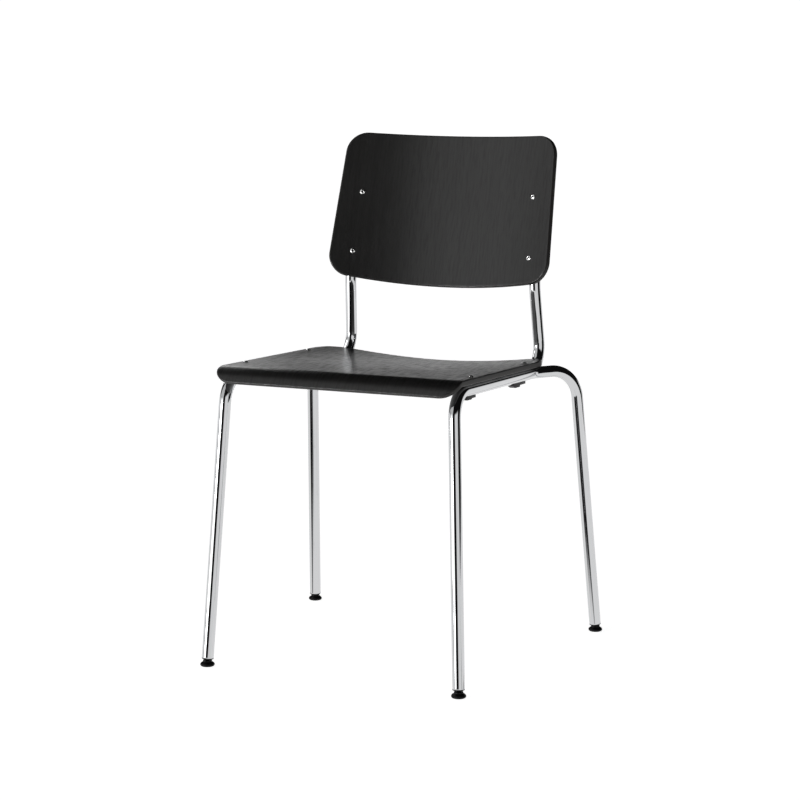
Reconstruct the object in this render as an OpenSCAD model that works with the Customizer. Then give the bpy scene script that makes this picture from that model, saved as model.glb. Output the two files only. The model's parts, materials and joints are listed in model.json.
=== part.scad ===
// Stacking chair: two bent-tube side frames, two back uprights, moulded plywood seat and back,
// and four tilting glides. Millimetres, +Z up, origin on the floor under the middle of the chair.
// The chair faces -Y. Left and right are the sitter's, so left is +X.

/* [Tube] */
// Outside diameter of the frame tube
tube_d = 18.5; // [16:0.5:19]
// Wall thickness of the frame tube
tube_wall = 1.5; // [1:0.1:2.5]

/* [Frame] */
// Distance from the centre plane to a side rail's axis
rail_x = 186; // [184:0.5:190]
// Height of the rail's axis where it meets the front leg
rail_front_z = 440; // [425:0.2:455]
// Fall of the rails and seat towards the rear, in degrees
rail_fall = 1.6; // [0:0.1:3]
// Y position of the top of the front legs
leg_top_y = -206; // [-212:1:-200]
// Y position where a rail turns outwards behind the seat
flare_y = 107; // [100:1:112]
// Distance from the centre plane to a front glide
front_foot_x = 208; // [200:1:216]
// Y position of the front glides
front_foot_y = -234.4; // [-245:0.2:-228]
// Distance from the centre plane to a rear glide
rear_foot_x = 253; // [245:1:260]
// Y position of the rear glides
rear_foot_y = 220; // [210:1:230]
// Bend radius at the top of the front leg
front_bend_r = 38; // [30:1:44]
// Bend radius at the top of the rear leg
rear_bend_r = 50; // [45:1:56]

/* [Back uprights] */
// Distance from the centre plane to the foot of an upright
upright_x = 166.8; // [166:0.1:167.5]
// Y position of the lower corner of an upright
upright_y = 187; // [184:0.5:192]
// How far the run under the seat lies below the rail's axis
runner_drop = 4.8; // [4.6:0.1:6]
// Y position of the front end of the run under the seat
runner_end_y = -40; // [-60:1:-20]
// Height of the kink behind the backrest
upright_kink_z = 565; // [560:1:572]
// Height of an upright's top end
upright_top_z = 748; // [735:1:765]
// Bend radius where an upright runs forward under the seat
upright_bend_r = 42; // [36:1:44]

/* [Seat] */
// Width of the seat
seat_w = 395.4; // [390:0.2:400]
// Thickness of the seat's plywood
seat_t = 9; // [8:0.1:10]
// Length of the seat from the start of the front roll to the rear corners
seat_length = 349; // [335:1:352]
// Radius of the front roll on the upper face
nose_r = 35.4; // [30:0.2:40]
// Angle through which the front roll turns
nose_angle = 68; // [60:1:80]
// Depth of the hollow at the rear edge
dish_depth = 15.5; // [8:0.5:18]
// How far the rear edge curves out behind its corners
seat_bow = 23; // [10:1:26]

/* [Backrest] */
// Half the width at the top edge, along the curve
back_top_half = 185.8; // [178:0.2:192]
// Half the width at the bottom edge, along the curve
back_bottom_half = 194.1; // [186:0.1:200]
// Height of the panel at its corners
back_h = 234.6; // [220:0.2:250]
// Radius of the hollow front face
back_r = 512; // [480:1:600]
// Thickness of the backrest's plywood
back_t = 8.4; // [7.6:0.1:9.6]
// Recline of the panel, in degrees
back_recline = 15.4; // [14:0.1:17]
// Y position of the middle of the panel's front face
back_y = 206; // [204:0.5:209]
// Height of the middle of the panel
back_z = 674.3; // [665:0.1:684]

/* [Glides] */
// Diameter of a foot
foot_d = 22.4; // [20:0.2:25]
// Height of the ball's centre above the floor
ball_z = 6.4; // [6.2:0.1:7]
// Radius of the ball
ball_r = 4.6; // [4.2:0.1:4.7]
// Gap all round between the ball and its socket
ball_clearance = 0.08; // [0.02:0.01:0.1]

/* [Hidden] */
$fn = 48;

chrome = "silver";
black_stain = "#26221f";
black_plastic = "#1c1c1c";
zinc = "#b9bcc0";

tube_r = tube_d / 2;
bore_d = tube_d - 2 * tube_wall;
tie_slip = 0.1;      // a bend's rod is this much thinner, so that it slides into the straight rods
tie_length = 1.5;    // and its arc reaches this far into them

leg_end = 6.6;       // from the ball's centre to the tube's end, along the leg
neck_r = 2.5;
flange_t = 1.4;
insert_length = 22;

insert_flange_t = 0.8;
insert_flange_d = 10;
seat_top = tube_r + insert_flange_t + seat_t;
nose_y = 7.5;        // start of the front roll behind the top of the front leg, along the rail
dish_start = 65;     // where the hollow begins, from the start of the front roll
screw_front_y = 60;  // along the rail from the top of the front leg
screw_rear_y = 271;
crest_x = rail_x;    // the hollow runs out above the rails
seat_front_corner_r = 29;
seat_rear_corner_r = 50;
back_top_corner_r = 35.2;
back_bottom_corner_r = 30.8;
back_top_crown = 2.6;
back_bottom_crown = 10.3;

back_screw_s = [151.2, 156];   // along the curve, upper and lower
back_screw_t = [19.1, -79.1];  // up the panel from its middle, upper and lower

head_d = 8.6;
head_h = 1.9;
head_rest = 0.08;  // clears the hollow face under the head
shank_d = 5;
hole_d = 5.4;
socket_d = 3.4;
barrel_d = 7.3;      // threaded insert, in a hole one tenth wider
barrel_length = 11;

bumper_w = 10;
bumper_strip_t = 2.6;
peg_d = 6;

cross_front_y = 84;  // along the rail, where the seat is still flat
cross_rear_y = 188;
weld_r = 2;
weld_length = 24;
collar_sweep = 280;

function unit(v) = v / norm(v);
function heading(p, i) = unit(p[i + 1] - p[i]);
function turn(p, i) = acos(heading(p, i - 1) * heading(p, i));
function setback(p, r, i) = i == 0 || i == len(p) - 1 ? 0 : r[i] * tan(turn(p, i) / 2);
function rail_z(y) = rail_front_z - (y - leg_top_y) * tan(rail_fall);

// Draws one straight length of rod along +Z, then the bend after it, then the rest of the path.
// across is the local X direction in the chair's own axes.
module rod_from(p, r, d, i, across) {
    along = heading(p, i);
    length = norm(p[i + 1] - p[i]) - setback(p, r, i) - setback(p, r, i + 1);
    cylinder(h = length, d = d);
    if (i < len(p) - 2) {
        ahead = heading(p, i + 1);
        inward = unit(ahead - (ahead * along) * along);
        bend = turn(p, i + 1);
        radius = r[i + 1];
        tie = tie_length / radius * 180 / PI;
        translate([0, 0, length]) rotate(atan2(inward * cross(along, across), inward * across)) {
            translate([radius, 0, 0]) rotate([90, 0, 180]) rotate(-tie)
                rotate_extrude(angle = bend + 2 * tie) translate([radius, 0]) circle(d = d - tie_slip);
            translate([radius, 0, 0]) rotate([0, bend, 0]) translate([-radius, 0, 0])
                rod_from(p, r, d, i + 1, inward * cos(bend) - along * sin(bend));
        }
    }
}

// A round rod along the points p, rounded at each corner by the radii r.
module bent_rod(p, r, d) {
    along = heading(p, 0);
    tilt = acos(along[2]);
    swing = atan2(along[1], along[0]);
    translate(p[0]) rotate([0, tilt, swing])
        rod_from(p, r, d, 0, [cos(tilt) * cos(swing), cos(tilt) * sin(swing), -sin(tilt)]);
}

module bent_tube(p, r) {
    difference() {
        bent_rod(p, r, tube_d);
        bent_rod(p, r, bore_d);
    }
}

// Puts the children on the seat rails: local Y runs back along a rail from the top of the front leg.
module on_rails() {
    translate([0, leg_top_y, rail_front_z]) rotate([-rail_fall, 0, 0]) children();
}

// Puts the children on the backrest: local Y points out of its rear face and local Z runs up it.
module on_back() {
    translate([0, back_y, back_z]) rotate([-back_recline, 0, 0]) children();
}

// Puts the children at a backrest screw, with +Z out of the front face. row is 0 for the upper screws.
module at_back_screw(side, row) {
    around = side * back_screw_s[row] / back_r * 180 / PI;
    on_back() translate([back_r * sin(around), back_r * cos(around) - back_r, back_screw_t[row]])
        rotate([90, 0, -around]) children();
}

module at_seat_screws() {
    for (side = [-1, 1]) for (y = [screw_front_y, screw_rear_y])
        on_rails() translate([side * rail_x, y, 0]) children();
}

// Legs: the ball's centre, and the top corner where the leg's axis meets the rail's.
function front_ball(side) = [side * front_foot_x, front_foot_y, ball_z];
function rear_ball(side) = [side * rear_foot_x, rear_foot_y, ball_z];
function front_top(side) = [side * rail_x, leg_top_y, rail_front_z];
function rear_top(side) = [side * (rear_foot_x - 22), rear_foot_y - 51, rail_z(flare_y) + 0.6];
function leg_foot(ball, top) = ball + leg_end * unit(top - ball);

module at_glide(ball, top) {
    along = unit(top - ball);
    translate(ball) rotate([0, acos(along[2]), atan2(along[1], along[0])]) children();
}

// Uprights: they pass straight behind both screws, one flange and one tube radius off the panel.
function back_point(s, t, d) =
    [(back_r + d) * sin(s / back_r * 180 / PI), (back_r + d) * cos(s / back_r * 180 / PI) - back_r, t];
function off_back(p) = [
    p[0],
    back_y + p[1] * cos(back_recline) + p[2] * sin(back_recline),
    back_z - p[1] * sin(back_recline) + p[2] * cos(back_recline)
];
function behind_screw(row) =
    off_back(back_point(back_screw_s[row], back_screw_t[row], back_t + insert_flange_t + tube_r));
function upright_at(z) = let (low = behind_screw(1), high = behind_screw(0))
    low + (high - low) * (z - low[2]) / (high[2] - low[2]);
function to_side(p, side) = [side * p[0], p[1], p[2]];
function upright_path(side) = [
    [side * upright_x, runner_end_y, rail_z(runner_end_y) - runner_drop],
    [side * upright_x, upright_y, rail_z(upright_y) - runner_drop],
    to_side(upright_at(upright_kink_z), side),
    to_side(upright_at(upright_top_z), side)
];

// Front leg, seat rail and rear leg bent from one tube, with holes for the seat's inserts on top
// and for the bumpers' pegs below.
module side_frame(side) {
    path = [
        leg_foot(front_ball(side), front_top(side)),
        front_top(side),
        [side * rail_x, flare_y, rail_z(flare_y)],
        rear_top(side),
        leg_foot(rear_ball(side), rear_top(side))
    ];
    color(chrome) difference() {
        bent_tube(path, [0, front_bend_r, 50, rear_bend_r, 0]);
        for (y = [screw_front_y, screw_rear_y])
            on_rails() translate([side * rail_x, y, 0]) cylinder(h = tube_d, d = barrel_d + 0.1);
        for (span = [bumper_front, bumper_rear])
            on_rails() translate([side * rail_x, peg_y(span), -tube_d]) cylinder(h = tube_d, d = peg_d + 0.1);
    }
}

module side_frame_left() { side_frame(1); }
module side_frame_right() { side_frame(-1); }

// Back upright: it runs forward under the seat beside the rail, to which it is welded.
module back_upright(side) {
    color(chrome) difference() {
        bent_tube(upright_path(side), [0, upright_bend_r, 80, 0]);
        for (row = [0, 1])
            at_back_screw(side, row) translate([0, 0, -back_t - insert_flange_t - tube_r])
                cylinder(h = tube_r + 1, d = barrel_d + 0.1);
    }
}

module back_upright_left() { back_upright(1); }
module back_upright_right() { back_upright(-1); }

// Cross bars under the seat, cut to a saddle at both ends.
module cross_bar(y, end_x, drop) {
    color(chrome) difference() {
        on_rails() translate([-end_x, y, -drop]) rotate([0, 90, 0]) difference() {
            cylinder(h = 2 * end_x, d = tube_d);
            translate([0, 0, -1]) cylinder(h = 2 * end_x + 2, d = bore_d);
        }
        for (side = [-1, 1])
            on_rails() translate([side * end_x, y - tube_d, -drop]) rotate([-90, 0, 0])
                cylinder(h = 2 * tube_d, d = tube_d + 0.1);
    }
}

module cross_bar_front() { cross_bar(cross_front_y, rail_x, 0); }
module cross_bar_rear() { cross_bar(cross_rear_y, upright_x, runner_drop); }

// Weld beads: a collar at each end of a cross bar, open on top for the seat, and two runs in the
// groove between tubes.
module weld_collars(y, end_x, drop) {
    for (side = [-1, 1])
        on_rails() translate([side * (end_x - tube_r - 0.4), y, -drop]) rotate([0, 90, 0])
            rotate(-collar_sweep / 2) rotate_extrude(angle = collar_sweep)
                translate([tube_r, 0]) circle(r = 1.6, $fn = 16);
}

module frame_welds() {
    gap = [rail_x - upright_x, runner_drop];
    bead = [rail_x + upright_x, -runner_drop] / 2 + 1.5 * weld_r * unit([gap[1], -gap[0]]);
    color(chrome) {
        weld_collars(cross_front_y, rail_x, 0);
        weld_collars(cross_rear_y, upright_x, runner_drop);
        for (side = [-1, 1]) for (y = [170, 268])
            on_rails() translate([side * bead[0], y, bead[1]])
                rotate([-90, 0, 0]) cylinder(h = weld_length, r = weld_r);
    }
}

// Outline of a moulded panel as a closed ring, n points to a corner, pulled in by inset.
// half and r each hold the value at the low and at the high end of the panel.
function corner(c, r, from, n) = [for (k = [0 : n]) c + r * [cos(from + 90 * k / n), sin(from + 90 * k / n)]];
function between(a, b, n) = [for (k = [1 : n - 1]) a + (b - a) * k / n];
function outline(low, high, half, r, inset, n) = let (
    hi = high - inset, lo = low + inset, w1 = half[1] - inset, w0 = half[0] - inset,
    r1 = r[1] - inset, r0 = r[0] - inset,
    a = corner([w1 - r1, hi - r1], r1, 0, n),
    b = corner([r1 - w1, hi - r1], r1, 90, n),
    c = corner([r0 - w0, lo + r0], r0, 180, n),
    d = corner([w0 - r0, lo + r0], r0, 270, n),
    across = 2 * n, up = 2 * n + 2
) concat(a, between(a[n], b[0], across), b, between(b[n], c[0], up),
    c, between(c[n], d[0], across), d, between(d[n], a[0], up));

// Closed shell from rings of 3D points: it starts at the middle of one face and ends at the other's.
module ring_shell(first, rings, last) {
    n = len(rings[0]);
    m = len(rings);
    points = concat([first], [for (ring = rings) for (p = ring) p], [last]);
    faces = concat(
        [for (j = [0 : n - 1]) [0, 1 + j, 1 + (j + 1) % n]],
        [for (i = [0 : m - 2]) for (j = [0 : n - 1]) let (
            a = 1 + i * n + j, b = 1 + i * n + (j + 1) % n
        ) each [[a, a + n, b + n], [a, b + n, b]]],
        [for (j = [0 : n - 1]) [m * n + 1, (m - 1) * n + 1 + (j + 1) % n, (m - 1) * n + 1 + j]]
    );
    polyhedron(points, faces, convexity = 6);
}

// Edge of a moulded panel: inset and depth below the front face, both in millimetres, for thickness t.
function edge_steps(t) = [
    [2.2, 0], [1, 0.35], [0.3, 1.1], [0, 2.2],
    [0, t - 2.2], [0.3, t - 1.1], [1, t - 0.35], [2.2, t]
];

// Inner rings, as fractions of the way out from the middle.
spread = [0.12, 0.26, 0.4, 0.54, 0.66, 0.75, 0.81, 0.85, 0.88, 0.91, 0.94, 0.97];
corner_n = 6;

function shrink(ring, f, middle) = [for (p = ring) middle + f * (p - middle)];

// All rings of a moulded panel. place(u, v, d) bends the flat outline, at depth d, into space.
function panel_rings(low, high, half, r, t, place) = let (
    middle = [0, (low + high) / 2],
    face = outline(low, high, half, r, edge_steps(t)[0][0], corner_n),
    front = [for (f = spread) [shrink(face, f, middle), 0]],
    edge = [for (e = edge_steps(t)) [outline(low, high, half, r, e[0], corner_n), e[1]]],
    rear = [for (k = [len(spread) - 1 : -1 : 0]) [shrink(face, spread[k], middle), t]]
) [for (ring = concat(front, edge, rear)) [for (p = ring[0]) place(p[0], p[1], ring[1])]];

module moulded_panel(low, high, half, r, t, place) {
    rings = panel_rings(low, high, half, r, t, place);
    ring_shell(place(0, (low + high) / 2, 0), rings, place(0, (low + high) / 2, t));
}

// Seat: v runs back from the start of the front roll. The rear edge bows out and the rear is hollowed.
nose_length = nose_r * nose_angle * PI / 180;
function hollow(x, v) =
    dish_depth * pow(max(0, (v - dish_start) / (seat_length - dish_start)), 1.5)
    * pow(max(0, 1 - pow(x / crest_x, 2)), 1.15);
function bowed(x, v) = v + seat_bow * pow(max(0, v / seat_length), 2) * (1 - pow(2 * x / seat_w, 2));
seat_place = function(x, v, d) let (a = -v / nose_r * 180 / PI, b = bowed(x, v))
    v < 0 ? [x, nose_y - (nose_r - d) * sin(a), seat_top - nose_r + (nose_r - d) * cos(a)]
        : [x, nose_y + b, seat_top - d - hollow(x, v)];

module seat_shell() {
    half = seat_w / 2;
    color(black_stain) difference() {
        on_rails() moulded_panel(-nose_length, seat_length, [half, half],
            [seat_front_corner_r, seat_rear_corner_r], seat_t, seat_place);
        at_seat_screws() cylinder(h = 3 * tube_d, d = hole_d);
        at_seat_screws() cylinder(h = tube_r + insert_flange_t + 0.01, d = insert_flange_d + 0.6);
    }
}

// Backrest: u runs along the curve and v up the panel. Both edges are slightly crowned.
function crowned(u, v) = let (k = v / back_h + 0.5)
    v + back_top_crown * k * (1 - pow(u / back_top_half, 2))
    - back_bottom_crown * (1 - k) * (1 - pow(u / back_bottom_half, 2));
back_place = function(u, v, d) back_point(u, crowned(u, v), d);

module back_shell() {
    color(black_stain) difference() {
        on_back() moulded_panel(-back_h / 2, back_h / 2, [back_bottom_half, back_top_half],
            [back_bottom_corner_r, back_top_corner_r], back_t, back_place);
        for (side = [-1, 1]) for (row = [0, 1])
            at_back_screw(side, row) translate([0, 0, -back_t - 2]) cylinder(h = back_t + 4, d = hole_d);
    }
}

// Button-head screw with a hexagon socket: its seat is at z = 0 and its shank points down.
module button_screw(length) {
    difference() {
        union() {
            rotate_extrude() polygon([
                [0, head_rest], [head_d / 2, head_rest], [head_d / 2, 0.5], [head_d / 2 - 0.5, 1.2],
                [head_d / 2 - 1.4, 1.7], [head_d / 2 - 2.2, head_h], [0, head_h]
            ]);
            translate([0, 0, -length]) cylinder(h = length + 0.1, d = shank_d);
        }
        translate([0, 0, head_h - 1.3]) cylinder(h = 2, d = socket_d, $fn = 6);
    }
}

module seat_screws() {
    color(zinc) at_seat_screws() translate([0, 0, seat_top]) button_screw(seat_t + barrel_length);
}

// Threaded insert: its flange lies on the tube at z = 0 and its barrel goes into the tube.
module threaded_insert() {
    difference() {
        union() {
            cylinder(h = insert_flange_t, d = insert_flange_d);
            translate([0, 0, -barrel_length]) cylinder(h = barrel_length, d = barrel_d);
        }
        translate([0, 0, -barrel_length - 1]) cylinder(h = barrel_length + 3, d = shank_d);
    }
}

module seat_inserts() {
    color(zinc) at_seat_screws() translate([0, 0, tube_r]) threaded_insert();
}

module back_screws() {
    color(zinc) for (side = [-1, 1]) for (row = [0, 1])
        at_back_screw(side, row) button_screw(back_t + barrel_length);
}

// The inserts' flanges keep the backrest off the uprights.
module back_inserts() {
    color(zinc) for (side = [-1, 1]) for (row = [0, 1])
        at_back_screw(side, row) translate([0, 0, -back_t - insert_flange_t]) threaded_insert();
}

// Stacking bumper: a plastic shoe under the rail with a foot at its front, held by a peg.
// Its span lists, along the rail, the front tip, the foot's two corners and the rear end.
bumper_front = [33, 37, 54, 69];
bumper_rear = [214, 225, 243, 266];
function peg_y(span) = (span[1] + span[2]) / 2;
module bumper(side, span, drop) {
    low = -tube_r - drop;
    shoulder = -tube_r - 0.8;
    strip = -tube_r - bumper_strip_t;
    color(black_plastic) on_rails() translate([side * rail_x, 0, 0]) {
        difference() {
            translate([-bumper_w / 2, 0, 0]) rotate([90, 0, 90]) linear_extrude(bumper_w)
                polygon([[span[0], -5], [span[0], shoulder], [span[1], low], [span[2], low],
                    [span[2] + 2, strip], [span[3], strip], [span[3], -5]]);
            translate([0, span[0] - 1, 0]) rotate([-90, 0, 0])
                cylinder(h = span[3] - span[0] + 2, r = tube_r + 0.05);
        }
        translate([0, peg_y(span), low + 1]) cylinder(h = drop + 3, d = peg_d);
    }
}

module bumper_front_left() { bumper(1, bumper_front, 4.2); }
module bumper_front_right() { bumper(-1, bumper_front, 4.2); }
module bumper_rear_left() { bumper(1, bumper_rear, 5.4); }
module bumper_rear_right() { bumper(-1, bumper_rear, 5.4); }

// Plug with a low domed head: the tube's end is at z = 0 and the shank points down into the tube.
module tube_plug(dome_h, shank) {
    rotate_extrude() polygon([
        [0, -shank], [bore_d / 2 - 0.6, -shank], [bore_d / 2 - 0.05, 2 - shank], [bore_d / 2 - 0.05, 0],
        [tube_r, 0], [tube_r, dome_h * 0.4], [tube_r * 0.86, dome_h * 0.75], [tube_r * 0.5, dome_h],
        [0, dome_h]
    ]);
}

// Places the children at the end of a path, with +Z out of the tube.
module at_end(end, before) {
    out = unit(end - before);
    translate(end) rotate([0, acos(out[2]), atan2(out[1], out[0])]) children();
}

module upright_cap(side) {
    path = upright_path(side);
    color(black_plastic) at_end(path[3], path[2]) tube_plug(3, 16);
}

module runner_plug(side) {
    path = upright_path(side);
    color(black_plastic) at_end(path[0], path[1]) tube_plug(2, 14);
}

module upright_cap_left() { upright_cap(1); }
module upright_cap_right() { upright_cap(-1); }
module runner_plug_left() { runner_plug(1); }
module runner_plug_right() { runner_plug(-1); }

// Glide insert: shank in the tube, flange under the tube's end, and a ball on a neck.
module glide_insert(ball, top) {
    color(black_plastic) at_glide(ball, top) {
        sphere(r = ball_r);
        cylinder(h = leg_end, r = neck_r);
        translate([0, 0, leg_end - flange_t]) cylinder(h = flange_t, d = tube_d);
        translate([0, 0, leg_end - 0.1]) cylinder(h = insert_length, d = bore_d - 0.1);
    }
}

// Glide foot: a lens with a collar, which holds the ball so that it can tilt.
module glide_foot(ball) {
    r = foot_d / 2;
    collar_top = ball_z + 3.3;
    color(black_plastic) translate([ball[0], ball[1], 0]) difference() {
        rotate_extrude() polygon([
            [0, 0], [r * 0.76, 0], [r * 0.93, 0.9], [r, 2.6], [r, 3.4], [r * 0.93, 5],
            [r * 0.78, 6.3], [7.2, 7], [6.9, collar_top - 0.5], [6.4, collar_top], [0, collar_top]
        ]);
        translate([0, 0, ball_z]) sphere(r = ball_r + ball_clearance);
        translate([0, 0, ball_z + 2.7]) cylinder(h = 0.9, r1 = 3.76, r2 = 4.9);
    }
}

module glide_insert_front_left() { glide_insert(front_ball(1), front_top(1)); }
module glide_insert_front_right() { glide_insert(front_ball(-1), front_top(-1)); }
module glide_insert_rear_left() { glide_insert(rear_ball(1), rear_top(1)); }
module glide_insert_rear_right() { glide_insert(rear_ball(-1), rear_top(-1)); }
module glide_foot_front_left() { glide_foot(front_ball(1)); }
module glide_foot_front_right() { glide_foot(front_ball(-1)); }
module glide_foot_rear_left() { glide_foot(rear_ball(1)); }
module glide_foot_rear_right() { glide_foot(rear_ball(-1)); }

side_frame_left();
side_frame_right();
back_upright_left();
back_upright_right();
cross_bar_front();
cross_bar_rear();
frame_welds();
seat_shell();
back_shell();
seat_screws();
seat_inserts();
back_screws();
back_inserts();
bumper_front_left();
bumper_front_right();
bumper_rear_left();
bumper_rear_right();
upright_cap_left();
upright_cap_right();
runner_plug_left();
runner_plug_right();
glide_insert_front_left();
glide_insert_front_right();
glide_insert_rear_left();
glide_insert_rear_right();
glide_foot_front_left();
glide_foot_front_right();
glide_foot_rear_left();
glide_foot_rear_right();
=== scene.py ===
import json
import math

import bmesh
import bpy
from bpy.props import FloatProperty, FloatVectorProperty, PointerProperty
from mathutils import Matrix, Vector


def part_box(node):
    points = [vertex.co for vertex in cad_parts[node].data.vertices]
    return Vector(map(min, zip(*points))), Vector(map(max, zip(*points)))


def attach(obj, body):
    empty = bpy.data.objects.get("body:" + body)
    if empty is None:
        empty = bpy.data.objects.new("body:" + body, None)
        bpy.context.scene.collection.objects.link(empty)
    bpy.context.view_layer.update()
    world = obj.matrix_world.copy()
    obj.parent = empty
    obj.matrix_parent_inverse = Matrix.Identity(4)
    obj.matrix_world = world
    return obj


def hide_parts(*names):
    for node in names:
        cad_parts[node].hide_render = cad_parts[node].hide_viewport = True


bl_info = {
    "name": "Stacking chair",
    "version": (1, 0, 0),
    "blender": (4, 5, 0),
    "location": "View3D > Sidebar > Chair",
    "description": "Finished pieces and studio for a stacking chair of bent tube and moulded plywood",
    "category": "Object",
}

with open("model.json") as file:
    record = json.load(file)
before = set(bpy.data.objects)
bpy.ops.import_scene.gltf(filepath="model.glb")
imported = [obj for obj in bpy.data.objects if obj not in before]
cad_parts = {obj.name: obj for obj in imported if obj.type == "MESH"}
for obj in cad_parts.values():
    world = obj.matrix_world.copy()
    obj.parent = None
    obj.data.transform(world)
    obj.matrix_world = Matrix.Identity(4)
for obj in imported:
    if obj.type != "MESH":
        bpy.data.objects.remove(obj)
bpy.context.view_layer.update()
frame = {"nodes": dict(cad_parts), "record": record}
NODES = frame["nodes"]
CHAIR = next(iter(frame["record"]["behaviour"]["bodies"]))    # the root body
SIDES = {"left": 1, "right": -1}

# Small parts, in metres.
INSERT_FLANGE_T = 0.0008                              # flange that holds a panel off its tube
SEAT_SCREWS_Y = (0.060, 0.271)                        # front and rear, back along the rail
BACK_SCREWS = ((0.1512, 0.0191), (0.156, -0.0791))    # upper and lower: along the curve, up the panel
SCREW_GRIP = 0.011                                    # how far a screw reaches past its panel
HEAD_R, HEAD_H, HEAD_RIM = 0.0043, 0.0019, 0.0006     # button head, and the upright rim under its dome
SOCKET_R, SOCKET_DEEP = 0.0017, 0.0013                # hexagon socket, to its flats
SHANK_R, SHANK_CHAMFER = 0.0025, 0.0006
BUMPER_SPANS = {"front": (0.033, 0.037, 0.054, 0.069),    # start, foot, foot's end and strip's end,
                "rear": (0.214, 0.225, 0.243, 0.266)}     # back along the rail
BUMPER_DROPS = {"front": 0.0042, "rear": 0.0054}      # of the foot below the tube
SHOULDER_DROP, STRIP_DROP = 0.0008, 0.0026            # of its front end and of the strip behind its foot
BUMPER_HALF, BUMPER_ROUND = 0.005, 0.0009             # half width, and rounding along both sides
SLIDE = 0.00005                                       # clearance of a fitted part
BALL_R, CUP_R, BALL_Z = 0.0046, 0.00468, 0.0064       # glide's ball, the cup round it, its centre's height
LEG_END = 0.0066                                      # from the ball's centre to the tube's end
GLIDE_FLANGE, GLIDE_NECK = 0.0014, 0.0025             # thickness under the tube, and the neck's radius
STUD_DEPTH = 0.022                                    # how far the glide's stud reaches into the tube
PLY_T = 0.00125                                       # thickness of one ply
FOOT_R, COLLAR_H = 0.0112, 0.0033                     # foot's radius, and its collar above the ball's centre


# ---------------------------------------------------------------- settings

def length(name, description, default):
    return FloatProperty(name=name, description=description, default=default, unit="LENGTH", precision=4)


def angle(name, description, degrees):
    return FloatProperty(name=name, description=description, default=math.radians(degrees), subtype="ANGLE")


def amount(name, description, default, top=1.0):
    return FloatProperty(name=name, description=description, default=default, min=0, max=top,
                         subtype="FACTOR")


def colour(name, description, default):
    return FloatVectorProperty(name=name, description=description, default=default, size=3, min=0, max=1,
                               subtype="COLOR")


class TubeSettings(bpy.types.PropertyGroup):
    """Sizes of the bent tube frame."""
    tube_d: length("Tube diameter", "Outside diameter of the tube", 0.0185)
    bore_d: length("Bore", "Inside diameter of the tube", 0.0155)
    rail_x: length("Rail position", "From the centre plane to a side rail's axis", 0.186)
    rail_z: length("Rail height", "Height of the rail's axis at the front leg", 0.440)
    rail_fall: angle("Rail fall", "Fall of the rails and seat towards the rear", 1.6)
    leg_top_y: length("Front leg top", "Y position of the top of the front legs", -0.206)
    flare_y: length("Flare", "Y position where a rail turns outwards", 0.107)
    rear_top_in: length("Rear top inset", "From the rear foot in to the top of the rear leg", 0.022)
    rear_top_ahead: length("Rear top ahead", "From the rear foot forward to the top of the rear leg", 0.051)
    rear_top_rise: length("Rear top rise", "Rise of the rail's outward run", 0.0006)
    front_bend: length("Front bend", "Bend radius at the top of the front leg", 0.038)
    flare_bend: length("Flare bend", "Bend radius where a rail turns outwards", 0.050)
    rear_bend: length("Rear bend", "Bend radius at the top of the rear leg", 0.050)
    upright_x: length("Upright position", "From the centre plane to the foot of an upright", 0.1668)
    upright_y: length("Upright corner", "Y position of an upright's lower corner", 0.187)
    runner_drop: length("Runner drop", "How far the run under the seat lies below the rail", 0.0048)
    runner_end_y: length("Runner end", "Y position of the front end of the run under the seat", -0.040)
    kink_z: length("Kink height", "Height of the kink behind the backrest", 0.565)
    upright_top_z: length("Upright top", "Height of an upright's top end", 0.748)
    upright_bend: length("Upright bend", "Bend radius where an upright runs forward", 0.042)
    kink_bend: length("Kink bend", "Bend radius of the kink", 0.080)


class PanelSettings(bpy.types.PropertyGroup):
    """Sizes of the moulded plywood seat and backrest."""
    seat_w: length("Seat width", "Width of the seat", 0.3954)
    seat_t: length("Seat thickness", "Thickness of the seat's plywood", 0.009)
    seat_length: length("Seat length", "From the start of the front roll to the rear corners", 0.349)
    nose_r: length("Roll radius", "Radius of the front roll on the upper face", 0.0354)
    nose_angle: angle("Roll angle", "Angle through which the front roll turns", 68)
    nose_y: length("Roll start", "Start of the front roll behind the top of the front leg", 0.0075)
    dish_depth: length("Hollow depth", "Depth of the hollow at the rear edge", 0.0155)
    dish_start: length("Hollow start", "Where the hollow begins behind the front roll", 0.065)
    seat_bow: length("Rear bow", "How far the rear edge curves out behind its corners", 0.023)
    seat_front_corner: length("Front corner", "Corner radius at the front of the seat", 0.029)
    seat_rear_corner: length("Rear corner", "Corner radius at the rear of the seat", 0.050)
    back_top_half: length("Top half width", "Half the backrest's width at its top, on the curve", 0.1858)
    back_low_half: length("Bottom half width", "Half the backrest's width at its foot, on the curve", 0.1941)
    back_h: length("Backrest height", "Height of the panel at its corners", 0.2346)
    back_r: length("Backrest curve", "Radius of the hollow front face", 0.512)
    back_t: length("Backrest thickness", "Thickness of the backrest's plywood", 0.0084)
    recline: angle("Recline", "Recline of the backrest", 15.4)
    back_y: length("Backrest Y", "Y position of the middle of the front face", 0.206)
    back_z: length("Backrest height", "Height of the middle of the panel", 0.6743)
    top_corner: length("Top corner", "Corner radius at the top of the backrest", 0.0352)
    low_corner: length("Bottom corner", "Corner radius at the bottom of the backrest", 0.0308)
    top_crown: length("Top crown", "Rise of the top edge at its middle", 0.0025)
    low_crown: length("Bottom crown", "Drop of the bottom edge at its middle", 0.0103)
    edge_round: length("Edge rounding", "Radius of the rounded edges", 0.0022)


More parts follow.
